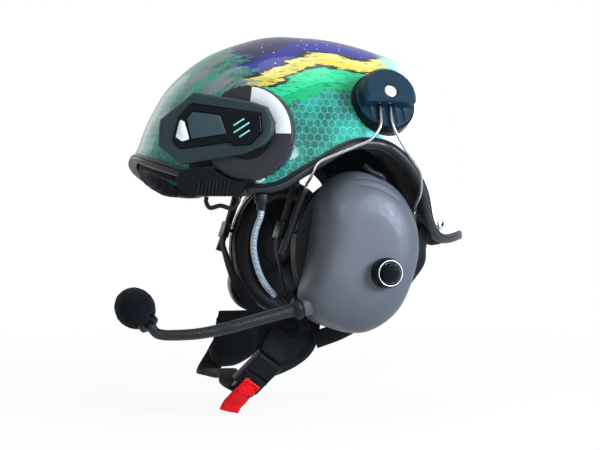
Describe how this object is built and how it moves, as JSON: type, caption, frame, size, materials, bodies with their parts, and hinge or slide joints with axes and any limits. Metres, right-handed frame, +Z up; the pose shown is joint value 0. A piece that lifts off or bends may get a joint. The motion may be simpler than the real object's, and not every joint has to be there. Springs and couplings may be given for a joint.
{
  "type": "paramotor helmet",
  "caption": "Open-face flying helmet with spring-wire ear defenders, boom microphone, clip-on intercom with jog ring, and a chin harness with ratchet buckle.",
  "frame": {"origin": "midpoint between the wearer's ears, on the helmet's middle plane", "axes": "+Z up to the crown, -Y towards the face opening, +X towards the wearer's left"},
  "size_m": [0.2553, 0.3038, 0.3055],
  "materials": {
    "painted_shell": "glossy metallic paint",
    "trim_rubber": "satin rubber",
    "screw_steel": "satin plated steel",
    "webbing": "woven polyester",
    "eps_foam": "moulded foam",
    "lining_fabric": "brushed knit fabric",
    "black_plastic": "moulded black plastic",
    "wire_steel": "bright stainless spring wire",
    "sleeve_rubber": "satin rubber",
    "cup_plastic": "satin moulded plastic",
    "cushion_leather": "soft artificial leather",
    "speaker_plastic": "matt plastic",
    "button_gloss": "glossy plastic",
    "boom_rubber": "ribbed rubber skin",
    "open_foam": "open cell foam",
    "intercom_grey": "textured plastic",
    "key_grey": "matt silicone rubber",
    "ring_grey": "matt rubber coated plastic",
    "cable_black": "cable jacket",
    "braid_grey": "braided sleeve over cable",
    "tongue_plastic": "toothed plastic strip",
    "red_webbing": "red folded webbing"
  },
  "bodies": {
    "helmet": {"shell": "painted_shell", "edge_trim": "trim_rubber", "strap_screw_front_left": "screw_steel", "strap_screw_front_right": "screw_steel", "strap_screw_rear_left": "screw_steel", "strap_screw_rear_right": "screw_steel", "front_strap_left": "webbing", "front_strap_right": "webbing", "rear_strap_left": "webbing", "rear_strap_right": "webbing", "eps_liner": "eps_foam", "comfort_liner": "lining_fabric", "brow_pad": "lining_fabric", "nape_pad": "lining_fabric", "base_plate_left": "black_plastic", "base_plate_right": "black_plastic", "disc_left": "black_plastic", "disc_right": "black_plastic", "pivot_screw_left": "screw_steel", "pivot_screw_right": "screw_steel", "intercom_body": "intercom_grey", "intercom_panel": "button_gloss", "intercom_dock": "black_plastic", "rim_clamp": "black_plastic", "intercom_lead": "cable_black", "lead_gland": "black_plastic", "mic_lead": "braid_grey", "lead_sleeve": "cable_black", "cheek_flap_left": "lining_fabric", "cheek_flap_right": "lining_fabric", "strap_slider_left": "black_plastic", "strap_slider_right": "black_plastic", "buckle_housing": "black_plastic", "chin_strap": "webbing", "buckle_band": "webbing"},
    "arm_left": {"wire_left": "wire_steel"},
    "sleeves_left": {"front_sleeve_left": "sleeve_rubber", "rear_sleeve_left": "sleeve_rubber"},
    "cup_left": {"cup_shell_left": "cup_plastic", "back_plate_left": "black_plastic", "cushion_left": "cushion_leather", "speaker_left": "speaker_plastic", "talk_button_housing": "black_plastic", "boom_socket": "sleeve_rubber"},
    "arm_right": {"wire_right": "wire_steel"},
    "sleeves_right": {"front_sleeve_right": "sleeve_rubber", "rear_sleeve_right": "sleeve_rubber"},
    "cup_right": {"cup_shell_right": "cup_plastic", "back_plate_right": "black_plastic", "cushion_right": "cushion_leather", "speaker_right": "speaker_plastic"},
    "boom_body": {"boom": "boom_rubber", "mic_capsule": "black_plastic", "windscreen": "open_foam"},
    "talk_button_body": {"talk_button": "button_gloss"},
    "dial": {"jog_dial": "ring_grey"},
    "key": {"intercom_key": "key_grey"},
    "lever": {"buckle_lever": "black_plastic", "pull_tab": "red_webbing"},
    "tongue": {"ratchet_tongue": "tongue_plastic"}
  },
  "joints": [
    {"name": "arm_flip_left", "type": "hinge", "parent": "helmet", "child": "arm_left", "pos_m": [0.10654, 0.0163, 0.11735], "axis": [0, -1, 0], "range_deg": [0, 30], "stiffness_Nm_per_rad": 0.3, "springref_deg": -22.92},
    {"name": "cup_height_left", "type": "slide", "parent": "arm_left", "child": "sleeves_left", "axis": [0, -0.3499, -0.9368], "range_m": [-0.002, 0.008]},
    {"name": "cup_tilt_left", "type": "hinge", "parent": "sleeves_left", "child": "cup_left", "pos_m": [0.0845, 0, 0.018], "axis": [0, -1, 0], "range_deg": [-5, 6]},
    {"name": "arm_flip_right", "type": "hinge", "parent": "helmet", "child": "arm_right", "pos_m": [-0.10654, 0.0163, 0.11735], "axis": [0, 1, 0], "range_deg": [0, 30], "stiffness_Nm_per_rad": 0.3, "springref_deg": -22.92},
    {"name": "cup_height_right", "type": "slide", "parent": "arm_right", "child": "sleeves_right", "axis": [0, -0.3499, -0.9368], "range_m": [-0.002, 0.008]},
    {"name": "cup_tilt_right", "type": "hinge", "parent": "sleeves_right", "child": "cup_right", "pos_m": [-0.0845, 0, 0.018], "axis": [0, 1, 0], "range_deg": [-5, 6]},
    {"name": "boom_roll", "type": "hinge", "parent": "cup_left", "child": "boom_body", "pos_m": [0.098, -0.0495, -0.0398], "axis": [-0.0733, -0.9636, -0.257], "range_deg": [-50, 40]},
    {"name": "talk_button_press", "type": "slide", "parent": "cup_left", "child": "talk_button_body", "axis": [-1, 0, 0], "range_m": [0, 0.0016], "stiffness_N_per_m": 120, "springref_m": -0.003},
    {"name": "jog_dial_turn", "type": "hinge", "parent": "helmet", "child": "dial", "pos_m": [0.11138, -0.09996, 0.0918], "axis": [0.8, -0.6, 0], "continuous": true},
    {"name": "intercom_key_press", "type": "slide", "parent": "helmet", "child": "key", "axis": [-0.8, 0.6, 0], "range_m": [0, 0.001], "stiffness_N_per_m": 900, "springref_m": -0.0015},
    {"name": "buckle_lever_lift", "type": "hinge", "parent": "helmet", "child": "lever", "pos_m": [0.06083, -0.07347, -0.09603], "axis": [0.2752, -0.7986, 0.5352], "range_deg": [0, 50], "stiffness_Nm_per_rad": 0.03, "springref_deg": -22.92},
    {"name": "tongue_slide", "type": "slide", "parent": "helmet", "child": "tongue", "axis": [-0.3653, -0.6018, -0.7102], "range_m": [-0.006, 0]}
  ]
}
